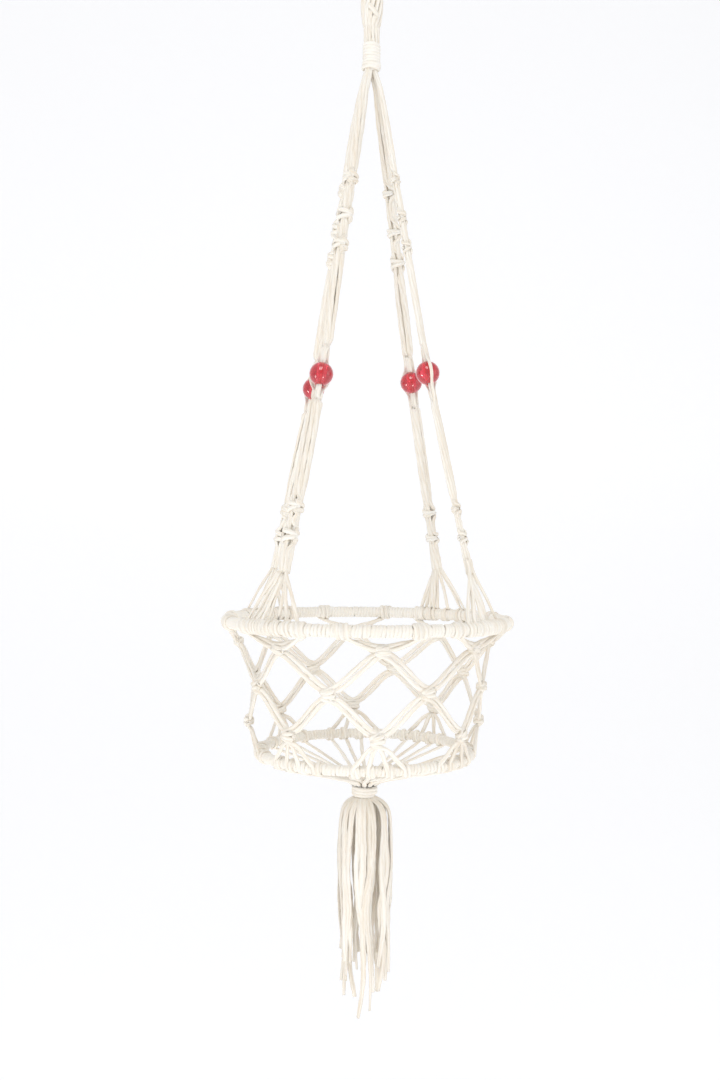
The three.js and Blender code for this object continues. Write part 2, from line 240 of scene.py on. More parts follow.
def cord_mesh(name, cords, sides=8, seed=0):
    """One mesh of closed cord tubes. UV x goes once round a cord and UV y is its length in metres."""
    dice = random.Random(seed)
    verts, faces, uvs, tones = [], [], [], []
    for cord in cords:
        first = len(verts)
        tone = dice.random()
        lengths = [dice.random()]
        for p, q in zip(cord.route, cord.route[1:]):
            lengths.append(lengths[-1] + (q - p).length)
        rings = len(cord.route)
        wave = dice.uniform(0, 6.28)
        frames = frames_along(cord.route, cord.facing)
        for i, (point, (normal, across)) in enumerate(zip(cord.route, frames)):
            # A hand-laid cord swells and thins a little, in waves of about 20 and 9 mm.
            breathe = 1 + 0.06 * math.sin(wave + lengths[i] * 310)
            breathe += 0.04 * math.sin(wave * 2 + lengths[i] * 730)
            scale = breathe * (cord.swell(i / (rings - 1)) if cord.swell else 1.0)
            for j in range(sides):
                angle = 2 * math.pi * j / sides
                out = normal * (cord.half_thickness * scale * math.cos(angle))
                verts.append(point + out + across * (cord.half_width * scale * math.sin(angle)))
        tones += [tone] * (rings * sides)
        for i in range(rings - 1):
            a, b = first + i * sides, first + (i + 1) * sides
            for j in range(sides):
                k = (j + 1) % sides
                faces.append((a + j, a + k, b + k, b + j))
                u, w = j / sides, (j + 1) / sides
                uvs += [(u, lengths[i]), (w, lengths[i]), (w, lengths[i + 1]), (u, lengths[i + 1])]
        end = first + (rings - 1) * sides
        faces.append(tuple(first + j for j in reversed(range(sides))))
        uvs += [(j / sides, lengths[0]) for j in reversed(range(sides))]
        faces.append(tuple(end + j for j in range(sides)))
        uvs += [(j / sides, lengths[-1]) for j in range(sides)]
    mesh = bpy.data.meshes.new(name)
    mesh.from_pydata([tuple(v) for v in verts], [], faces)
    layer = mesh.uv_layers.new(name="along")
    layer.data.foreach_set("uv", [c for uv in uvs for c in uv])
    tone_layer = mesh.attributes.new("cord_tone", "FLOAT", "POINT")
    tone_layer.data.foreach_set("value", tones)
    mesh.polygons.foreach_set("use_smooth", [len(f) == 4 for f in faces])
    mesh.update()
    piece = bpy.data.objects.new(name, mesh)
    bpy.context.scene.collection.objects.link(piece)
    return piece


def rosette(count, pitch):
    """Offsets of a bundle's cords: one in the middle and the rest round it."""
    around = count - 1
    radius = pitch / (2 * math.sin(math.pi / around))
    ring = [(radius * math.cos(2 * math.pi * i / around), radius * math.sin(2 * math.pi * i / around))
            for i in range(around)]
    return [(0.0, 0.0)] + ring


def turned_offset(offset, angle):
    a, b = offset
    return a * math.cos(angle) - b * math.sin(angle), a * math.sin(angle) + b * math.cos(angle)


def coil(radius, from_z, to_z, turns, tuck, seed, steps_per_turn=24):
    """A cord wound round the vertical axis, its ends tucked inwards, as a route and its facings."""
    dice = random.Random(seed)
    total = int(turns * steps_per_turn)
    wobble = [dice.uniform(-0.18, 0.18) * MM for _ in range(int(turns) + 2)]
    route, facing = [], []
    for i in range(total + 1):
        share = i / total
        ends = max(0, 1 - share * turns * 3) + max(0, 1 - (1 - share) * turns * 3)
        azimuth = 2 * math.pi * turns * share
        lift = wobble[int(turns * share)] * math.sin(azimuth / 2) ** 2
        route.append(polar(radius - tuck * ends, azimuth, from_z + (to_z - from_z) * share + lift))
        facing.append(polar(1, azimuth))
    return route, facing


# ---- materials ----
# A noise's scale is in patches a metre: 120 is a patch of about 8 mm and 2200 lint of 0.45 mm.


def add(tree, kind, settings=(), links=()):
    """Adds a node, sets its inputs or properties, and links (from node, output, input) into it."""
    node = tree.nodes.new(kind)
    for key, value in dict(settings).items():
        if isinstance(key, int) or key in node.inputs:
            node.inputs[key].default_value = value
        else:
            setattr(node, key, value)
    for source, output, target in links:
        tree.links.new(source.outputs[output], node.inputs[target])
    return node


def math_node(tree, operation, first, *rest):
    """A math node on sockets or numbers: each argument is a (node, output) pair or a value."""
    node = tree.nodes.new("ShaderNodeMath")
    node.operation = operation
    for i, value in enumerate((first, *rest)):
        if isinstance(value, tuple):
            tree.links.new(value[0].outputs[value[1]], node.inputs[i])
        else:
            node.inputs[i].default_value = value
    return node, 0


def new_material(name):
    material = bpy.data.materials.new(name)
    material.use_nodes = True
    material.node_tree.nodes.clear()
    return material, material.node_tree


def soft_cotton(name, light, shade, yarns, lay_mm, relief_mm, shade_depth, tone_depth=0.22):
    """Soft undyed cotton cord, loosely laid: long yarns that turn slowly round it, fine fibres along
    them, random stains and tone, and painted shade, a darker tan colour, in the grooves where the yarns
    meet."""
    material, tree = new_material(name)
    uv = add(tree, "ShaderNodeUVMap", {"uv_map": "along"})
    split = add(tree, "ShaderNodeSeparateXYZ", links=[(uv, "UV", 0)])
    place = add(tree, "ShaderNodeTexCoord")
    wander = add(tree, "ShaderNodeTexNoise", {"Scale": 120.0, "Detail": 2.0},
                 [(place, "Object", "Vector")])
    turns = math_node(tree, "MULTIPLY", (split, "X"), float(yarns))
    climb = math_node(tree, "MULTIPLY", (split, "Y"), 1000 / lay_mm)
    spiral = math_node(tree, "ADD", turns, climb)
    drift = math_node(tree, "MULTIPLY_ADD", (wander, "Fac"), 0.9, -0.45)
    phase = math_node(tree, "FRACT", math_node(tree, "ADD", spiral, drift))
    ramp = math_node(tree, "MULTIPLY", math_node(tree, "PINGPONG", phase, 0.5), 2.0)
    yarn = math_node(tree, "POWER", ramp, 0.5)
    around = math_node(tree, "MULTIPLY", spiral, 9.0)
    along = math_node(tree, "MULTIPLY", (split, "Y"), 150.0)
    fibre_at = add(tree, "ShaderNodeCombineXYZ", links=[(*around, 0), (*along, 1), (wander, "Fac", 2)])
    fibres = add(tree, "ShaderNodeTexNoise", {"Scale": 1.0, "Detail": 5.0, "Roughness": 0.7},
                 [(fibre_at, 0, "Vector")])
    lint = add(tree, "ShaderNodeTexNoise", {"Scale": 2200.0, "Detail": 2.0},
               [(place, "Object", "Vector")])
    fine = math_node(tree, "MULTIPLY_ADD", (fibres, "Fac"), 0.45, yarn)
    height = math_node(tree, "MULTIPLY_ADD", (lint, "Fac"), 0.15, fine)
    bump = add(tree, "ShaderNodeBump", {"Strength": 0.6, "Distance": relief_mm * MM},
               [(*height, "Height")])
    tone = add(tree, "ShaderNodeAttribute", {"attribute_name": "cord_tone"})
    cloudy = add(tree, "ShaderNodeTexNoise", {"Scale": 38.0, "Detail": 3.0},
                 [(place, "Object", "Vector")])
    # Painted shade: the lower the yarn's surface, the nearer the colour comes to the darker shade colour,
    # so the grooves between the yarns look shaded.
    between = math_node(tree, "MULTIPLY_ADD", yarn, -shade_depth, shade_depth)
    stains_and_shade = math_node(tree, "MULTIPLY_ADD", (cloudy, "Fac"), 0.5, between)
    fibres_stains_and_shade = math_node(tree, "MULTIPLY_ADD", (fibres, "Fac"), 0.3, stains_and_shade)
    shade_and_tone = math_node(tree, "MULTIPLY_ADD", (tone, "Fac"), tone_depth, fibres_stains_and_shade)
    # The mix towards the darker colour adds painted shade in the grooves to random stains, fibres and
    # per-cord tone.
    factor = math_node(tree, "SUBTRACT", shade_and_tone, 0.42)
    factor[0].use_clamp = True
    colour = add(tree, "ShaderNodeMix", {"data_type": "RGBA"}, [(*factor, "Factor")])
    # Inputs 6 and 7 are an RGBA mix's two colours.
    colour.inputs[6].default_value = light
    colour.inputs[7].default_value = shade
    shader = add(
        tree, "ShaderNodeBsdfPrincipled",
        {"Roughness": 0.9, "Sheen Weight": 0.2, "Sheen Roughness": 0.5, "Specular IOR Level": 0.2,
         "Subsurface Weight": 0.12, "Subsurface Radius": (1.0, 0.85, 0.65), "Subsurface Scale": 1.2 * MM},
        [(bump, "Normal", "Normal"), (colour, 2, "Base Color")],
    )
    add(tree, "ShaderNodeOutputMaterial", links=[(shader, "BSDF", "Surface")])
    return material


def moulded_glass(name, colour):
    """Red glass bead, moulded and fire-polished: clear deep red with a cloudy swirl through it."""
    material, tree = new_material(name)
    place = add(tree, "ShaderNodeTexCoord")
    swirl = add(tree, "ShaderNodeTexNoise", {"Scale": 120.0, "Detail": 3.0, "Distortion": 1.5},
                [(place, "Object", "Vector")])
    bump = add(tree, "ShaderNodeBump", {"Strength": 0.06, "Distance": 0.3 * MM},
               [(swirl, "Fac", "Height")])
    shades = add(tree, "ShaderNodeValToRGB", links=[(swirl, "Fac", "Fac")])
    shades.color_ramp.elements[0].position = 0.30
    shades.color_ramp.elements[0].color = colour
    shades.color_ramp.elements[1].position = 0.72
    shades.color_ramp.elements[1].color = tuple(0.92 * c + 0.08 for c in colour[:3]) + (1.0,)
    shader = add(
        tree, "ShaderNodeBsdfPrincipled",
        {"Roughness": 0.03, "IOR": 1.5, "Transmission Weight": 0.8,
         "Coat Weight": 1.0, "Coat Roughness": 0.02},
        [(shades, "Color", "Base Color"), (bump, "Normal", "Normal")],
    )
    add(tree, "ShaderNodeOutputMaterial", links=[(shader, "BSDF", "Surface")])
    return material


def peeled_cane(name, colour):
    """Bent cane hoop, peeled and sanded: pale fibres with a darker node now and then."""
    material, tree = new_material(name)
    place = add(tree, "ShaderNodeTexCoord")
    grain = add(tree, "ShaderNodeTexNoise", {"Scale": 420.0, "Detail": 4.0},
                [(place, "Object", "Vector")])
    shades = add(tree, "ShaderNodeValToRGB", links=[(grain, "Fac", "Fac")])
    shades.color_ramp.elements[0].color = tuple(c * 0.75 for c in colour[:3]) + (1.0,)
    shades.color_ramp.elements[1].color = colour
    bump = add(tree, "ShaderNodeBump", {"Strength": 0.3, "Distance": 0.2 * MM},
               [(grain, "Fac", "Height")])
    shader = add(tree, "ShaderNodeBsdfPrincipled", {"Roughness": 0.6},
                 [(shades, "Color", "Base Color"), (bump, "Normal", "Normal")])
    add(tree, "ShaderNodeOutputMaterial", links=[(shader, "BSDF", "Surface")])
    return material


def studio_paper(name, colour):
    """Seamless background paper, rolled and matte, with a faint tooth, and lit softly from behind."""
    material, tree = new_material(name)
    place = add(tree, "ShaderNodeTexCoord")
    tooth = add(tree, "ShaderNodeTexNoise", {"Scale": 900.0}, [(place, "Object", "Vector")])
    bump = add(tree, "ShaderNodeBump", {"Strength": 0.05, "Distance": 0.1 * MM},
               [(tooth, "Fac", "Height")])
    shader = add(
        tree, "ShaderNodeBsdfPrincipled",
        {"Roughness": 0.95, "Base Color": colour, "Emission Color": colour, "Emission Strength": 0.17},
        [(bump, "Normal", "Normal")],
    )
    add(tree, "ShaderNodeOutputMaterial", links=[(shader, "BSDF", "Surface")])
    return material


def cotton_material(name, **make):
    colours = bpy.context.scene.planter_colours
    return bpy.data.materials.get(name) or soft_cotton(
        name, tuple(colours.cotton), tuple(colours.cotton_painted_shade_and_stain), **make
    )


def laid_cord():
    return cotton_material("laid_cotton_cord", yarns=3, lay_mm=26.0, relief_mm=0.35, shade_depth=0.35)


def wound_cord():
    return cotton_material("wound_cotton_cord", yarns=2, lay_mm=30.0, relief_mm=0.25, shade_depth=0.2)


def opened_cord():
    return cotton_material(
        "opened_cotton_cord", yarns=4, lay_mm=90.0, relief_mm=0.6, shade_depth=0.35, tone_depth=0.25
    )


def dress(piece, body, material, replaced=()):
    """Gives a finished piece its material and its body, and hides the frame nodes it stands for."""
    piece.data.materials.clear()
    piece.data.materials.append(material)
    if replaced:
        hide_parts(*replaced)
    if body:
        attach(piece, body)


# ---- stage ----


class PLANTER_OT_stage(bpy.types.Operator):
    """Set up the pale studio: camera, paper backdrop, floor and soft lights"""

    bl_idname = "planter.stage"
    bl_label = "Studio stage"

    def execute(self, context):
        scene = context.scene
        scene.view_settings.view_transform = "Standard"
        low, high = CAD_BOX
        self.make_camera(scene)
        self.make_paper(scene, low.z - 0.45)
        target = Vector((0, 0, (low.z + high.z) / 2))
        for name, place, size, power in (
            ("top_softbox", (-0.3, -1.3, 1.0), 0.9, 9.5),
            ("side_softbox", (2.0, -1.0, -0.3), 1.2, 3.0),
            ("left_lamp", (-1.23, -0.46, -0.99), 0.26, 3.0),
            ("low_lamp", (0.24, -0.92, -1.15), 0.22, 2.0),
        ):
            data = bpy.data.lights.new(name, "AREA")
            data.shape = "SQUARE"
            data.size = size
            data.energy = power
            light = bpy.data.objects.new(name, data)
            light.location = place
            light.rotation_euler = (target - Vector(place)).to_track_quat("-Z", "Y").to_euler()
            scene.collection.objects.link(light)
        world = bpy.data.worlds.new("studio_world")
        world.use_nodes = True
        background = world.node_tree.nodes["Background"]
        background.inputs["Color"].default_value = (0.985, 0.99, 1.0, 1.0)
        background.inputs["Strength"].default_value = 0.77
        scene.world = world
        return {"FINISHED"}

    @staticmethod
    def make_camera(scene):
        """Level with the upper part of the basket, a metre off and a little left of square on."""
        turn = math.radians(-6.4)
        back = Vector((math.sin(turn), -math.cos(turn), 0))
        side = Vector((math.cos(turn), math.sin(turn), 0))
        data = bpy.data.cameras.new("camera")
        data.sensor_fit = "VERTICAL"
        data.sensor_height = 36.0
        data.lens = 18.0 / math.tan(math.radians(50.3 / 2))
        camera = bpy.data.objects.new("camera", data)
        camera.location = back * 1.0 - side * 6 * MM + UP * (TOP_HOOP_Z + 70 * MM)
        camera.rotation_euler = (math.pi / 2, math.radians(-0.55), turn)
        scene.collection.objects.link(camera)
        scene.camera = camera

    @staticmethod
    def make_paper(scene, floor_z):
        bpy.ops.mesh.primitive_plane_add(size=1, location=(0, 0, 0))
        paper = bpy.context.object
        paper.name = "backdrop"
        bend, wall_y, front_y, top_z, half = 1.2, 3.2, -5.0, 4.0, 5.0
        outline = [(front_y, floor_z)]
        for i in range(13):
            angle = math.pi / 2 * i / 12
            y = wall_y - bend + bend * math.sin(angle)
            outline.append((y, floor_z + bend - bend * math.cos(angle)))
        outline.append((wall_y, top_z))
        verts = [(x, y, z) for y, z in outline for x in (-half, half)]
        faces = [(2 * i, 2 * i + 1, 2 * i + 3, 2 * i + 2) for i in range(len(outline) - 1)]
        paper.data.clear_geometry()
        paper.data.from_pydata(verts, [], faces)
        paper.data.polygons.foreach_set("use_smooth", [True] * len(faces))
        colour = tuple(scene.planter_colours.backdrop)
        paper.data.materials.append(studio_paper("background_paper", colour))


# ---- tassel ----


class PLANTER_OT_tassel(bpy.types.Operator):
    """Hang the tassel's free strands, four from each lock, and wind the wrap they come out of"""

    bl_idname = "planter.tassel"
    bl_label = "Tassel"

    def execute(self, context):
        dice = random.Random(11)
        for lock in range(LOCKS):
            for part in range(4):
                self.make_strand(context, lock, part, dice)
        route, facing = coil(9.9 * MM, TASSEL_Z + 10.4 * MM, TASSEL_Z + 2.2 * MM, 3, 2.6 * MM, 5)
        cord = Cord(route, 1.75 * MM, 1.5 * MM, facing)
        piece = cord_mesh("tassel_wrap_cord", [cord], sides=12, seed=5)
        dress(piece, None, wound_cord(), ["tassel_wrap"])
        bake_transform(piece)
        return {"FINISHED"}

    @staticmethod
    def make_strand(context, lock, part, dice):
        """One strand: out of the wrap like a fountain, then down, drifting and thinning to its end."""
        width = context.scene.planter_sizes.strand_width * dice.uniform(0.84, 1.1)
        outer = part < 3
        azimuth = 2 * math.pi * (lock + ((part + 0.5) / 3 if outer else 0.5)) / LOCKS
        azimuth += dice.uniform(-0.17, 0.17)
        reach = (22.8 if outer else 16.8) * MM + dice.uniform(-2.2, 0.9) * MM
        end_z = LOCK_ENDS_Z[lock] + (dice.uniform(0, 12) if part == 0 else dice.uniform(6, 44)) * MM
        flare = dice.uniform(-7.0, 1.5) * MM
        drop = TASSEL_Z - end_z
        shape = [
            (0.14 * reach, -1.6 * MM), (0.30 * reach, -0.8 * MM), (0.50 * reach, 1.2 * MM),
            (0.72 * reach, 4.4 * MM), (0.88 * reach, 9.4 * MM), (0.965 * reach, 17 * MM),
            (reach, 30 * MM), (reach, 58 * MM),
            (reach + 0.25 * flare, 92 * MM), (reach + 0.6 * flare, drop - 30 * MM), (reach + flare, drop),
        ]
        sway, phase, wave = dice.uniform(-0.42, 0.42), dice.uniform(0, 6.28), dice.uniform(40, 75)
        lie = dice.uniform(-0.6, 0.6)
        points, facing = [], []
        for r, down in shape:
            share = max(0.0, down - 15 * MM) / (150 * MM)
            bend = min(1.0, share * 2) * 3.0 * MM * math.sin(phase + down * wave)
            turn = azimuth + sway * share**1.3 + bend / max(r, 5 * MM)
            points.append(polar(r + 0.4 * bend, turn, TASSEL_Z - down))
            tipped = UP if down < 6 * MM else Vector()
            lying = turn + lie * min(1.0, share * 3) + 0.6 * share * math.sin(phase)
            facing.append(polar(1, lying) + tipped)
        route, facing = smooth_route(points, 3.0 * MM, facing)
        thin = dice.uniform(0.45, 0.8)
        strand = Cord(route, width / 2, width * 0.24, facing,
                      swell=lambda share: 1 - (1 - thin) * max(0.0, (share - 0.72) / 0.28))
        name = f"tassel_strand_{4 * lock + part + 1}"
        piece = cord_mesh(name, [strand], sides=12, seed=100 + 4 * lock + part)
        dress(piece, "tassel", opened_cord(), [f"tassel_lock_{lock + 1}"])


# ---- loop, neck and crown ----

NECK_PLACES = [(5.7 * MM, 2 * math.pi * i / 12) for i in range(12)] + [
    (2.3 * MM, 2 * math.pi * i / 4) for i in range(4)
]


class PLANTER_OT_loop(bpy.types.Operator):
    """Model the hanging loop's cords, the gathered knot under it and the cords down to the crown"""

    bl_idname = "planter.loop"
    bl_label = "Loop and neck"

    def execute(self, context):
        self.make_loop()
        self.make_knot()
        self.make_bundle()
        return {"FINISHED"}

    @staticmethod
    def make_loop():
        """The loop: seven cords laid round each other."""
        half = [(3.2, -64), (3.6, -52), (9, -38), (15, -21), (11.4, -4)]
        outline = [(-x, z) for x, z in half] + [(0, 3.7)] + half[::-1]
        centre = smooth_route([(x * MM, 0, z * MM) for x, z in outline], 2.5 * MM)
        frames = frames_along(centre, [Vector((0, 1, 0))] * len(centre))
        cords = []
        for offset in rosette(7, 2.5 * MM):
            route = []
            for i, (point, (normal, across)) in enumerate(zip(centre, frames)):
                x, y = turned_offset(offset, 2 * math.pi * 0.9 * i / len(centre))
                route.append(point + normal * x + across * y)
            cords.append(Cord(route, 1.35 * MM))
        piece = cord_mesh("loop_cords", cords, sides=8, seed=21)
        dress(piece, None, laid_cord(), ["hanging_loop"])
        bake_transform(piece)

    @staticmethod
    def make_knot():
        """The gathered knot: cords that swell round the neck, and one slantwise across them."""
        cords = []
        length = NECK_TOP_Z - NECK_END_Z
        for radius, azimuth in NECK_PLACES:
            points = []
            for share in (-0.12, 0.03, 0.2, 0.45, 0.7, 0.92):
                swell = 0.98 + 0.42 * math.sin(math.pi / 2 * min(1, max(0, share) * 1.5))
                swell += min(0, share) * 2.2
                points.append(polar(radius * swell, azimuth + 0.7 * share, NECK_END_Z + length * share))
            cords.append(Cord(smooth_route(points, 2.5 * MM), 2.1 * MM, 1.5 * MM))
        sling = []
        for turn, radius, lift in ((215, 5.5, 19), (235, 8.0, 17), (258, 9.3, 13.5), (280, 9.2, 9.5),
                                   (300, 8.2, 6.5), (318, 5.5, 4)):
            sling.append(polar(radius * MM, math.radians(turn), NECK_END_Z + lift * MM))
        route, facing = smooth_route(sling, 2 * MM, [polar(1, math.atan2(p.y, p.x)) for p in sling])
        cords.append(Cord(route, 2.2 * MM, 1.0 * MM, facing))
        piece = cord_mesh("neck_knot", cords, sides=10, seed=22)
        dress(piece, "neck_tie", laid_cord(), ["neck_binding"])

    @staticmethod
    def make_bundle():
        """The cords from the knot down into the crown wrap."""
        cords = []
        for radius, azimuth in NECK_PLACES:
            points = [polar(radius * 0.97, azimuth + 0.15 * share,
                            NECK_END_Z + (CROWN_TOP_Z - 6 * MM - NECK_END_Z) * share)
                      for share in (-0.35, 0.15, 0.5, 0.8, 1.0)]
            cords.append(Cord(smooth_route(points, 2 * MM), 1.6 * MM, 1.4 * MM))
        piece = cord_mesh("neck_bundle", cords, sides=8, seed=23)
        dress(piece, None, laid_cord(), ["neck_cords"])
        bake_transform(piece)


class PLANTER_OT_crown(bpy.types.Operator):
    """Wind the gathering wrap where the four arms part"""

    bl_idname = "planter.crown"
    bl_label = "Crown wrap"

    def execute(self, context):
        half = 1.7 * MM
        turns = (CROWN_TOP_Z - CROWN_END_Z) / (1.8 * half) - 0.5
        route, facing = coil(6.6 * MM, CROWN_TOP_Z - half, CROWN_END_Z + half, turns, 1.2 * MM, 30)
        for i, point in enumerate(route):
            low = max(0.0, 1 - (point.z - CROWN_END_Z) / (8 * MM))
            route[i] = Vector((point.x * (1 + 0.22 * low), point.y * (1 + 0.22 * low), point.z))
        cords = [Cord(route, half, 1.3 * MM, facing)]
        for radius, azimuth in NECK_PLACES:
            ends = [polar(radius * 0.85, azimuth, CROWN_TOP_Z + 1 * MM),
                    polar(radius * 0.8, azimuth, CROWN_END_Z)]
            cords.append(Cord(smooth_route(ends, 5 * MM), 1.4 * MM))
        piece = cord_mesh("crown_wrap_cord", cords, sides=12, seed=31)
        dress(piece, "hanger", wound_cord(), ["crown_wrap"])
        return {"FINISHED"}


# ---- arms ----


class ArmLine:
    """An arm's middle line: from the crown to its bead and on to its split, with its own directions."""

    def __init__(self, name):
        self.azimuth = ARM_AZIMUTHS[name]
        low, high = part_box(f"{name}_bead")
        self.bead = (low + high) / 2
        self.top = polar(ARM_TOP_R, self.azimuth, CROWN_END_Z)
        self.split = polar(SPLIT_R, self.azimuth, SPLIT_Z)
        self.bead_at = (self.bead - self.top).length
        self.length = self.bead_at + (self.split - self.bead).length
        self.down = (self.split - self.top).normalized()
        self.side = polar(1, self.azimuth + math.pi / 2)
        self.out = self.side.cross(self.down).normalized()
        if self.out.dot(polar(1, self.azimuth)) < 0:
            self.out = -self.out

    def at(self, s, x=0.0, y=0.0):
        """The point at distance s down the arm, x outwards and y sideways of its middle."""
        if s < self.bead_at:
            middle = self.top.lerp(self.bead, s / self.bead_at)
        else:
            share = (s - self.bead_at) / (self.length - self.bead_at)
            middle = self.bead + (self.split - self.bead) * share
        # The first 18 mm lean in, so that the arms leave the crown wrap together.
        middle = middle - self.out * (2.4 * MM * max(0.0, 1 - s / (18 * MM)))
        return middle + self.out * x + self.side * y


def knot_routes(half_width, half_depth, height):
    """A square knot's two working cords, as (across, front, up) from top to bottom."""
    front_bar = [(-1.0, 0.50, 0.30), (-0.5, 1.0, 0.24), (0.0, 1.08, 0.19),
                 (0.5, 1.0, 0.14), (1.0, 0.35, 0.08)]
    back_bar = [(1.08, 0.75, 0.30), (1.14, 0.0, 0.22), (0.55, -0.95, 0.16), (0.0, -1.05, 0.12),
                (-0.55, -0.95, 0.08), (-1.12, 0.0, 0.03)]
    first = [(-1.0, 0.15, 0.46)] + front_bar + [(1.04, 0.0, 0.0)]
    second = [(1.0, 0.15, 0.46)] + back_bar + [(-1.14, 0.7, 0.0)]
    routes = []
    for half in (first, second):
        whole = half + [(x, y, -z) for x, y, z in half[-2::-1]]
        routes.append([(x * half_width, y * half_depth, z * height) for x, y, z in whole])
    return routes


# Each arm's habits: which way its hidden cords pass the bead, how full it is, how it twists.
ARM_HABITS = {
    "front_left": {"guard": 86, "fullness": 1.2, "twist": 2.2,
                   "knot_turn": (0.5, -0.5, 0.2, 0.3, -0.4)},
    "front_right": {"guard": 81, "fullness": 0.6, "twist": -1.6,
                    "knot_turn": (-0.4, 0.3, 0.8, -0.3, 0.2)},
    "back_right": {"guard": 81.5, "fullness": 1.06, "twist": 1.9,
                   "knot_turn": (0.9, 0.2, -0.5, 0.1, 0.6)},
    "back_left": {"guard": 86.4, "fullness": 1.24, "twist": -2.5,
                  "knot_turn": (-0.3, 0.7, 0.0, -0.6, 0.4)},
}
ARM_CORDS = 8
# A cord's way past a bead: millimetres along the arm, and its shares of the way behind and aside.
BEAD_PASS = (
    (-21, 0.20, 0.40), (-15, 0.28, 0.42), (-10.5, 0.66, 0.5), (-5, 0.97, 0.85), (0, 1.0, 1.0),
    (5, 0.97, 0.85), (10.5, 0.66, 0.5), (15, 0.28, 0.42), (21, 0.20, 0.40),
)
KNOT_LENGTH = 12.5 * MM


class PLANTER_OT_arms(bpy.types.Operator):
    """Model the four arms: eight cords each, square knots, and the cords round the bead"""

    bl_idname = "planter.arms"
    bl_label = "Arms"

    def execute(self, context):
        sizes = context.scene.planter_sizes
        for number, name in enumerate(ARMS):
            self.make_arm(name, number, 0.94 * sizes.cord_width / 2, 0.94 * sizes.cord_thickness / 2)
        return {"FINISHED"}

    def make_arm(self, name, number, half_width, half_thickness):
        line = ArmLine(name)
        habit = ARM_HABITS[name]
        dice = random.Random(40 + number)
        half_width *= habit["fullness"] ** 0.6
        half_thickness *= 1.12 * habit["fullness"] ** 0.6
        places = rosette(ARM_CORDS, 2.75 * MM * habit["fullness"] ** 0.75)
        bundle_r = math.hypot(*places[1]) + half_thickness
        workers = (2, 5)
        knots = list(UPPER_KNOTS) + [line.length - s for s in LOWER_KNOTS]
        ties = [0.0] + knots[:3] + [line.bead_at] + knots[3:] + [line.length]
        start_turn = dice.uniform(0, math.pi)
        looseness = [dice.uniform(0.0, 0.22) for _ in places]
        phases = [dice.uniform(0, 6.28) for _ in places]
        flat_turn = dice.uniform(0, 3.14)

        def offset(i, s):
            """How far cord i lies from the middle: tight at ties, looser and flatter between them."""
            spread = 0.0
            for a, b in zip(ties, ties[1:]):
                if a <= s <= b:
                    spread = math.sin(math.pi * (s - a) / (b - a)) * min(1, (b - a) / (90 * MM))
            x, y = turned_offset(places[i], start_turn + habit["twist"] * s / line.length)
            tight = 0.62 + 0.38 * min(1.0, s / (45 * MM))
            for knot in knots:
                tight -= 0.20 * math.exp(-(((s - knot) / (13 * MM)) ** 2))
            flat = 0.22 * spread * math.sin(flat_turn + 14 * s)
            reach = tight * (1 + looseness[i] * spread)
            drift = 0.5 * MM * spread
            x = x * reach * (1 + flat) + drift * math.sin(phases[i] + 26 * s)
            y = y * reach * (1 - flat) + drift * math.cos(phases[i] * 1.7 + 21 * s)
            return x, y

        guard = polar(1, math.radians(habit["guard"]))
        guard_angle = math.atan2(guard.dot(line.side), guard.dot(line.out))
        cords = []
        for i in range(ARM_CORDS):
            entries, s = [], -5 * MM
            while s <= line.length + 4 * MM:
                near_knot = i in workers and any(abs(s - k) < KNOT_LENGTH * 0.75 for k in knots)
                if not near_knot and abs(s - line.bead_at) > 24 * MM:
                    x, y = offset(i, max(s, 0))
                    entries.append((s, line.at(s, x, y), line.out * x + line.side * y))
                s += 6 * MM
            if i in workers:
                for k, knot in enumerate(knots):
                    turn = habit["knot_turn"][k]
                    across = line.side * math.cos(turn) + line.out * math.sin(turn)
                    front = line.out * math.cos(turn) - line.side * math.sin(turn)
                    half = bundle_r * 0.84 + 0.4 * half_thickness
                    route = knot_routes(half, half, KNOT_LENGTH)[workers.index(i)]
                    for n, (x, y, z) in enumerate(route):
                        aside = across * x + front * y
                        order = knot - KNOT_LENGTH / 2 + KNOT_LENGTH * n / (len(route) - 1)
                        entries.append((order, line.at(knot - z) + aside, aside))
            entries += self.past_bead(name, i, line, guard_angle, half_thickness)
            entries.sort(key=lambda entry: entry[0])
            facing = [e[2].normalized() if e[2].length > 0.4 * MM else line.out for e in entries]
            route, facing = smooth_route([e[1] for e in entries], 2.2 * MM, facing)
            cords.append(Cord(route, half_width, half_thickness, facing))
        parts = ("upper_cords", "upper_knots", "middle_cords", "bead_cords", "lower_cords", "lower_knots")
        piece = cord_mesh(f"{name}_arm_cords", cords, sides=10, seed=50 + number)
        dress(piece, "hanger", laid_cord(), [f"{name}_{part}" for part in parts])

    @staticmethod
    def past_bead(name, i, line, guard_angle, half_thickness):
        """One cord's points past the bead: two cords run through it and the rest lie behind it."""
        entries = []
        if i in (0, 1):
            aside = 0.75 * MM * (1 if i else -1)
            for d in (-20, -14, -9, 0, 9, 14, 20):
                s = line.bead_at + d * MM
                entries.append((s, line.at(s, 0, aside), line.out))
            return entries
        share = (i - 2) / (ARM_CORDS - 3) * 2 - 1
        spread, angle = share * 0.55, guard_angle
        if name == "front_right" and i == ARM_CORDS - 1:
            spread, angle = 0.22, guard_angle + math.pi
        clear = BEAD_R + half_thickness + (0.4 + 1.8 * (i % 2)) * MM
        for d, behind, aside in BEAD_PASS:
            back, beside = clear * behind, clear * aside * spread
            x = back * math.cos(angle) - beside * math.sin(angle)
            y = back * math.sin(angle) + beside * math.cos(angle)
            point = line.at(line.bead_at + d * MM, x, y)
            entries.append((line.bead_at + d * MM, point, line.out * x + line.side * y))
        return entries


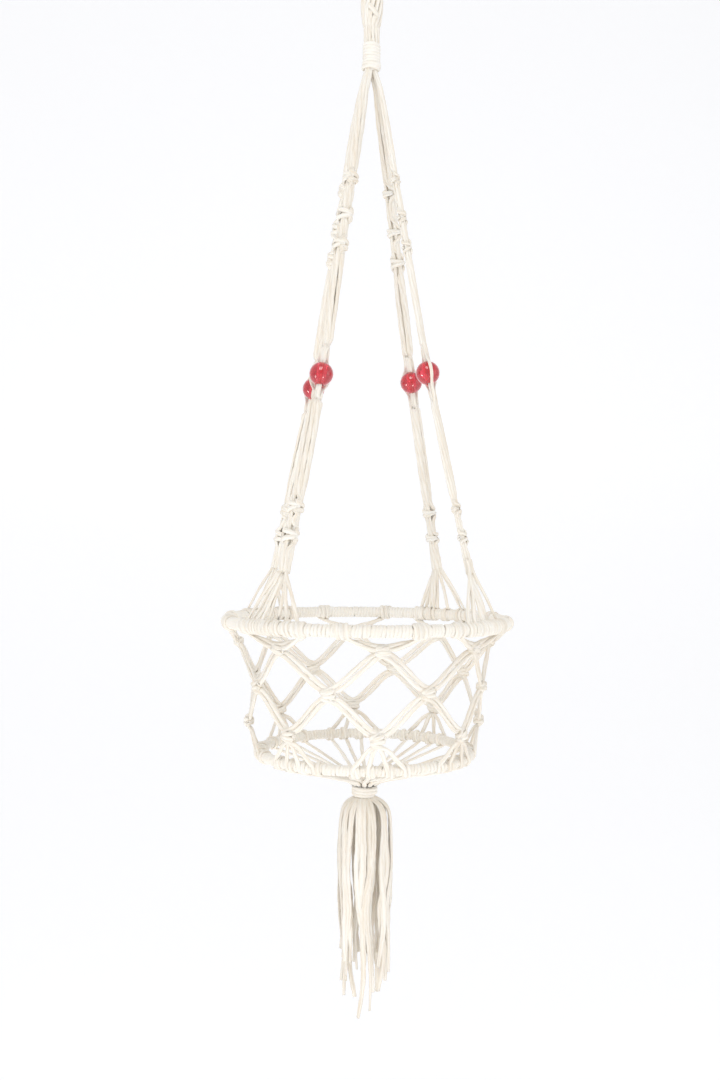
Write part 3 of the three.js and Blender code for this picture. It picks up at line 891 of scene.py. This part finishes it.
class PLANTER_OT_beads(bpy.types.Operator):
    """Model the glass beads: a ball cut at both poles and bored through"""

    bl_idname = "planter.beads"
    bl_label = "Glass beads"

    def execute(self, context):
        colours = context.scene.planter_colours
        glass = moulded_glass("moulded_red_glass", tuple(colours.bead))
        for name in ARMS:
            bead = self.bored_ball(f"{name}_glass_bead", context.scene.planter_sizes.bead_segments)
            line = ArmLine(name)
            turned = Matrix((line.out, line.side, -line.down)).transposed().to_4x4()
            bead.data.transform(Matrix.Translation(line.bead) @ turned)
            dress(bead, f"{name}_bead", glass, [f"{name}_bead"])
        return {"FINISHED"}

    @staticmethod
    def bored_ball(name, segments):
        bpy.ops.object.select_all(action="DESELECT")
        bpy.ops.mesh.primitive_uv_sphere_add(segments=segments, ring_count=36, radius=BEAD_R)
        ball = bpy.context.object
        ball.name = name
        bpy.ops.object.mode_set(mode="EDIT")
        bpy.ops.mesh.select_all(action="DESELECT")
        mesh = bmesh.from_edit_mesh(ball.data)
        for face in mesh.faces:
            face.select = max(math.hypot(v.co.x, v.co.y) for v in face.verts) < BEAD_BORE_R * 1.15
        bmesh.update_edit_mesh(ball.data)
        bpy.ops.mesh.delete(type="FACE")
        mesh = bmesh.from_edit_mesh(ball.data)
        for edge in mesh.edges:
            edge.select = edge.is_boundary
        bmesh.update_edit_mesh(ball.data)
        bpy.ops.mesh.bridge_edge_loops(number_cuts=6, smoothness=0.0)
        bpy.ops.mesh.select_all(action="SELECT")
        bpy.ops.mesh.normals_make_consistent(inside=False)
        bpy.ops.object.mode_set(mode="OBJECT")
        bpy.ops.object.shade_smooth()
        bevel = ball.modifiers.new("mouth", "BEVEL")
        bevel.width = 0.35 * MM
        bevel.segments = 2
        bevel.limit_method = "ANGLE"
        bevel.angle_limit = math.radians(50)
        bpy.ops.object.modifier_apply(modifier="mouth")
        return ball


# ---- hoops ----


def hoop_point(hoop_r, hoop_z, tube_r, azimuth, angle):
    """A point round a hoop's section: angle 0 is outwards, a quarter turn is up."""
    return polar(hoop_r + tube_r * math.cos(angle), azimuth, hoop_z + tube_r * math.sin(angle))


def hitch(hoop_r, hoop_z, tube_r, azimuth, from_angle, turns, pitch, steps=12):
    """A cord turning round a wound hoop, as points and facings; each turn moves a pitch along it."""
    points, facing = [], []
    total = int(abs(turns) * steps)
    for i in range(total + 1):
        share = i / total
        angle = from_angle - 2 * math.pi * turns * share
        at = azimuth + pitch * abs(turns) * share / hoop_r
        points.append(hoop_point(hoop_r, hoop_z, tube_r, at, angle))
        facing.append(points[-1] - polar(hoop_r, at, hoop_z))
    return points, [f.normalized() for f in facing]


class PLANTER_OT_hoops(bpy.types.Operator):
    """Wind the two hoops with cord, turn by turn, and finish the hoops inside"""

    bl_idname = "planter.hoops"
    bl_label = "Wound hoops"

    def execute(self, context):
        wood = peeled_cane("peeled_cane", tuple(context.scene.planter_colours.hoop))
        pitch = context.scene.planter_sizes.wrap_pitch
        self.wind("top_hoop", "hanger", TOP_HOOP_R, TOP_HOOP_Z, TOP_WRAP_R, pitch, 70)
        self.wind("bottom_hoop", "basket", BOTTOM_HOOP_R, BOTTOM_HOOP_Z, BOTTOM_WRAP_R, pitch, 71)
        for name in ("top_hoop", "bottom_hoop"):
            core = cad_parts[name]
            core.data.materials.clear()
            core.data.materials.append(wood)
        return {"FINISHED"}

    @staticmethod
    def wind(name, body, radius, z, wrap_r, pitch, seed):
        """Wind a hoop with even turns, a slightly wider one now and then."""
        dice = random.Random(seed)
        half_thickness = 0.9 * MM
        turns = round(2 * math.pi * radius / pitch)
        gaps = [1 + (dice.uniform(0.08, 0.2) if dice.random() < 0.12 else dice.uniform(-0.10, 0.10))
                for _ in range(turns)]
        steps = 12
        route, facing, azimuth = [], [], 0.0
        for gap in gaps:
            span = 2 * math.pi * gap / sum(gaps)
            swell = dice.uniform(-0.30, 0.30) * MM
            lean = dice.uniform(-0.2, 0.2) * span
            for i in range(steps):
                angle = 2 * math.pi * i / steps
                at = azimuth + span * i / steps + lean * math.sin(angle)
                tube_r = wrap_r - half_thickness + swell * math.sin(angle / 2) ** 2
                route.append(hoop_point(radius, z, tube_r, at, angle))
                facing.append((route[-1] - polar(radius, at, z)).normalized())
            azimuth += span
        cord = Cord(route, pitch * 0.60, half_thickness, facing)
        piece = cord_mesh(f"{name}_winding", [cord], sides=8, seed=seed + 10)
        dress(piece, body, wound_cord(), [f"{name}_wrap"])


# Where each arm's eight cords reach the top hoop, in millimetres along it from the arm.
ARM_FEET = {
    "front_left": (-27, -23, -16, -9, -5, 4, 14, 26),
    "front_right": (-22, -14, -10, -3, 2, 9, 14, 22),
    "back_right": (-25, -21, -5, 8, 12, 15, 21, 26),
    "back_left": (-26, -20, -11, -7, 3, 8, 17, 24),
}


class PLANTER_OT_ring_cords(bpy.types.Operator):
    """Fan each arm's eight cords out to the top hoop and hitch them round it"""

    bl_idname = "planter.ring_cords"
    bl_label = "Cords to the top hoop"

    def execute(self, context):
        sizes = context.scene.planter_sizes
        half_width, half_thickness = 0.90 * sizes.cord_width / 2, 0.80 * sizes.cord_thickness / 2
        for number, name in enumerate(ARMS):
            line = ArmLine(name)
            dice = random.Random(90 + number)
            away = (line.split - line.bead).normalized()
            cords = []
            for i, along in enumerate(ARM_FEET[name]):
                foot = line.azimuth + along * MM / TOP_HOOP_R
                turn = 2 * math.pi * i / ARM_CORDS
                spread = 2 * i / (ARM_CORDS - 1) - 1
                lean = line.out * 2.2 * MM * math.cos(turn)
                points = [line.split - away * 9 * MM + lean + line.side * 2.9 * MM * spread,
                          line.split + away * 1 * MM + lean + line.side * 3.3 * MM * spread]
                around, faces = hitch(TOP_HOOP_R, TOP_HOOP_Z, TOP_WRAP_R + HITCH_LIFT, foot,
                                      math.radians(dice.uniform(60, 120)), 1.6, HITCH_PITCH)
                sag = points[1].lerp(around[0], 0.55)
                sag += Vector((dice.uniform(-1, 1), dice.uniform(-1, 1), 0)) * MM
                facing = [line.out, line.out, polar(1, foot)] + faces
                route, facing = smooth_route(points + [sag] + around, 1.9 * MM, facing)
                cords.append(Cord(route, half_width, half_thickness, facing))
            piece = cord_mesh(f"{name}_foot_cords", cords, sides=10, seed=95 + number)
            dress(piece, "hanger", laid_cord(), [f"{name}_ring_cords"])
        return {"FINISHED"}


# ---- net and base ----

# Where a column's four cords reach the bottom hoop, in degrees from the column.
BOTTOM_FEET = (-13.5, -4.5, 4.5, 13.5)
# How far a net knot reaches up and down from its middle.
NET_KNOT_REACH = 7.6 * MM


class PLANTER_OT_net(bpy.types.Operator):
    """Knot the net between the hoops: four cords a column, zigzagging through rows of square knots"""

    bl_idname = "planter.net"
    bl_label = "Net"

    def execute(self, context):
        sizes = context.scene.planter_sizes
        self.half_width, self.half_thickness = sizes.cord_width / 2, sizes.cord_thickness / 2
        dice = random.Random(120)
        self.shifts = {(row, column): (dice.uniform(-1.6, 1.6) * MM, dice.uniform(-0.022, 0.022))
                       for row in range(3) for column in range(NET_COLUMNS)}
        self.tilts = {key: dice.uniform(-0.35, 0.35) for key in self.shifts}
        self.dice = dice
        for column in range(NET_COLUMNS):
            cords = [self.net_cord(column, i) for i in range(4)]
            piece = cord_mesh(f"net_cords_{column + 1}", cords, sides=10, seed=130 + column)
            dress(piece, None, laid_cord(), [f"net_column_{column + 1}"])
            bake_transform(piece)
        return {"FINISHED"}

    def knot_frame(self, row, column):
        """A net knot's middle and its directions across, front and up, tilted a little by hand."""
        key = (row, column % NET_COLUMNS)
        lift, swing = self.shifts[key]
        azimuth = COLUMN_AZIMUTHS[column % NET_COLUMNS] + (COLUMN_STEP / 2 if row == 1 else 0) + swing
        radius, z = ROWS[row]
        front, across = polar(1, azimuth), polar(1, azimuth + math.pi / 2)
        tilt = self.tilts[key]
        up = UP * math.cos(tilt) + across * math.sin(tilt)
        return polar(radius, azimuth, z + lift), up.cross(front) * -1, front, up

    def net_cord(self, column, i):
        """One cord of a column, from its hitch on the top hoop to its hitch on the bottom hoop."""
        side = -1 if i < 2 else 1
        works_in_first = i in (0, 3)
        base = COLUMN_AZIMUTHS[column]
        top_at = base + side * (math.radians(14) + (2.4 if works_in_first else -1.6) * MM / TOP_HOOP_R)
        start = top_at - 5 * MM / TOP_HOOP_R
        points, facing = hitch(TOP_HOOP_R, TOP_HOOP_Z, TOP_WRAP_R + HITCH_LIFT, start,
                               math.radians(75), 1.42, HITCH_PITCH)
        second_column = column - 1 if i < 2 else column
        # Each visit: row, knot column, whether this cord works the knot, and the side it keeps to.
        visits = [(0, column, works_in_first, side), (1, second_column, not works_in_first, -side),
                  (2, column, works_in_first, side)]
        before = points[-1]
        for row, knot_column, works, knot_side in visits:
            centre, across, front, up = self.knot_frame(row, knot_column)
            reach = (centre - before).normalized()
            beside = reach.cross(front).normalized()
            if beside.dot(across) * knot_side < 0:
                beside = -beside
            aside = beside * (self.half_width * 0.96) * (1 if works else -1)
            ends = (before + reach * NET_KNOT_REACH, centre - reach * NET_KNOT_REACH)
            for end in ends if row else ends[1:]:
                points.append(end + aside)
                facing.append(front)
            self.through_knot(points, facing, (centre, across, front, up), works, knot_side)
            before = centre
        foot = base + math.radians(BOTTOM_FEET[i]) + self.dice.uniform(-0.02, 0.02)
        lap = BOTTOM_WRAP_R + HITCH_LIFT
        around, faces = hitch(BOTTOM_HOOP_R, BOTTOM_HOOP_Z, lap, foot,
                              math.radians(20), 1.35, HITCH_PITCH)
        points += [before.lerp(around[0], 0.35), before.lerp(around[0], 0.7)] + around
        facing += [polar(1, foot), polar(1, foot)] + faces
        route, facing = smooth_route(points, 2.1 * MM, facing)
        return Cord(route, self.half_width, self.half_thickness, facing)

    def through_knot(self, points, facing, knot, works, knot_side):
        """Adds a cord's points in a knot: round it if the cord works it, else straight through."""
        centre, across, front, up = knot
        if works:
            routes = knot_routes(2.5 * self.half_width, 2.3 * self.half_thickness, NET_KNOT_REACH)
            for x, y, z in routes[0 if knot_side < 0 else 1][1:-1]:
                points.append(centre + across * x + front * y + up * z)
                facing.append((across * x * 0.6 + front * y).normalized())
        else:
            aside = across * (knot_side * self.half_width * 1.2)
            for share in (0.34, -0.34):
                points.append(centre + aside + up * (share * NET_KNOT_REACH))
                facing.append(front)


class PLANTER_OT_base(bpy.types.Operator):
    """Run the cords under the base, from the bottom hoop to the gathered middle"""

    bl_idname = "planter.base"
    bl_label = "Base cords"

    def execute(self, context):
        sizes = context.scene.planter_sizes
        half_width, half_thickness = 0.9 * sizes.cord_width / 2, 0.9 * sizes.cord_thickness / 2
        dice = random.Random(150)
        cords = []
        lap = BOTTOM_WRAP_R + half_thickness * 0.6
        under = BOTTOM_HOOP_Z - lap
        for column in range(NET_COLUMNS):
            for i in range(4):
                rim = COLUMN_AZIMUTHS[column] + math.radians(BOTTOM_FEET[i])
                hub = COLUMN_AZIMUTHS[column] + math.radians((-15, -5, 5, 15)[i] + dice.uniform(-3, 3))
                layer = (i % 2) * 2.2 * MM
                hub_r = (8.2 if i % 2 else 5.2) * MM
                points = [
                    hoop_point(BOTTOM_HOOP_R, BOTTOM_HOOP_Z, lap, rim, math.radians(-50)),
                    hoop_point(BOTTOM_HOOP_R, BOTTOM_HOOP_Z, lap, rim, math.radians(-95)),
                    polar(62 * MM, rim, under - 6.5 * MM - 0.2 * layer),
                    polar(34 * MM, (rim + hub) / 2, under - 13.5 * MM - 0.5 * layer),
                    polar(17 * MM, hub, under - 17.6 * MM - 0.9 * layer),
                    polar(hub_r + 2.4 * MM, hub, HUB_Z - 1.6 * MM - 0.5 * layer),
                    polar(hub_r + 0.4 * MM, hub, HUB_Z - 5.5 * MM),
                    polar(hub_r * 0.95, hub, TASSEL_Z + 7.8 * MM),
                ]
                route = smooth_route(points, 3.0 * MM)
                cords.append(Cord(route, half_width, half_thickness, [UP + polar(0.8, hub)] * len(route),
                                  swell=lambda share: 1 + 0.35 * max(0.0, (share - 0.72) / 0.28)))
        piece = cord_mesh("base_cords", cords, sides=10, seed=151)
        dress(piece, None, laid_cord(), ["base_web"])
        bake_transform(piece)
        return {"FINISHED"}


# ---- add-on ----

OPERATORS = (
    PLANTER_OT_stage,
    PLANTER_OT_tassel,
    PLANTER_OT_loop,
    PLANTER_OT_crown,
    PLANTER_OT_arms,
    PLANTER_OT_beads,
    PLANTER_OT_hoops,
    PLANTER_OT_ring_cords,
    PLANTER_OT_net,
    PLANTER_OT_base,
)


class PLANTER_PT_panel(bpy.types.Panel):
    """Lists the planter's sizes, colours and pieces"""

    bl_idname = "PLANTER_PT_panel"
    bl_label = "Macrame planter"
    bl_space_type = "VIEW_3D"
    bl_region_type = "UI"
    bl_category = "Planter"

    def draw(self, context):
        for group in (context.scene.planter_sizes, context.scene.planter_colours):
            box = self.layout.box()
            for key in group.__annotations__:
                box.prop(group, key)
        for operator in OPERATORS:
            self.layout.operator(operator.bl_idname)


CLASSES = (PlanterSizes, PlanterColours) + OPERATORS + (PLANTER_PT_panel,)


def register():
    for cls in CLASSES:
        bpy.utils.register_class(cls)
    bpy.types.Scene.planter_sizes = bpy.props.PointerProperty(type=PlanterSizes)
    bpy.types.Scene.planter_colours = bpy.props.PointerProperty(type=PlanterColours)


def unregister():
    del bpy.types.Scene.planter_sizes
    del bpy.types.Scene.planter_colours
    for cls in reversed(CLASSES):
        bpy.utils.unregister_class(cls)


def main():
    register()
    bpy.ops.object.select_all(action="DESELECT")
    for operator in OPERATORS:
        group, action = operator.bl_idname.split(".")
        getattr(getattr(bpy.ops, group), action)()


if __name__ == "__main__":
    main()
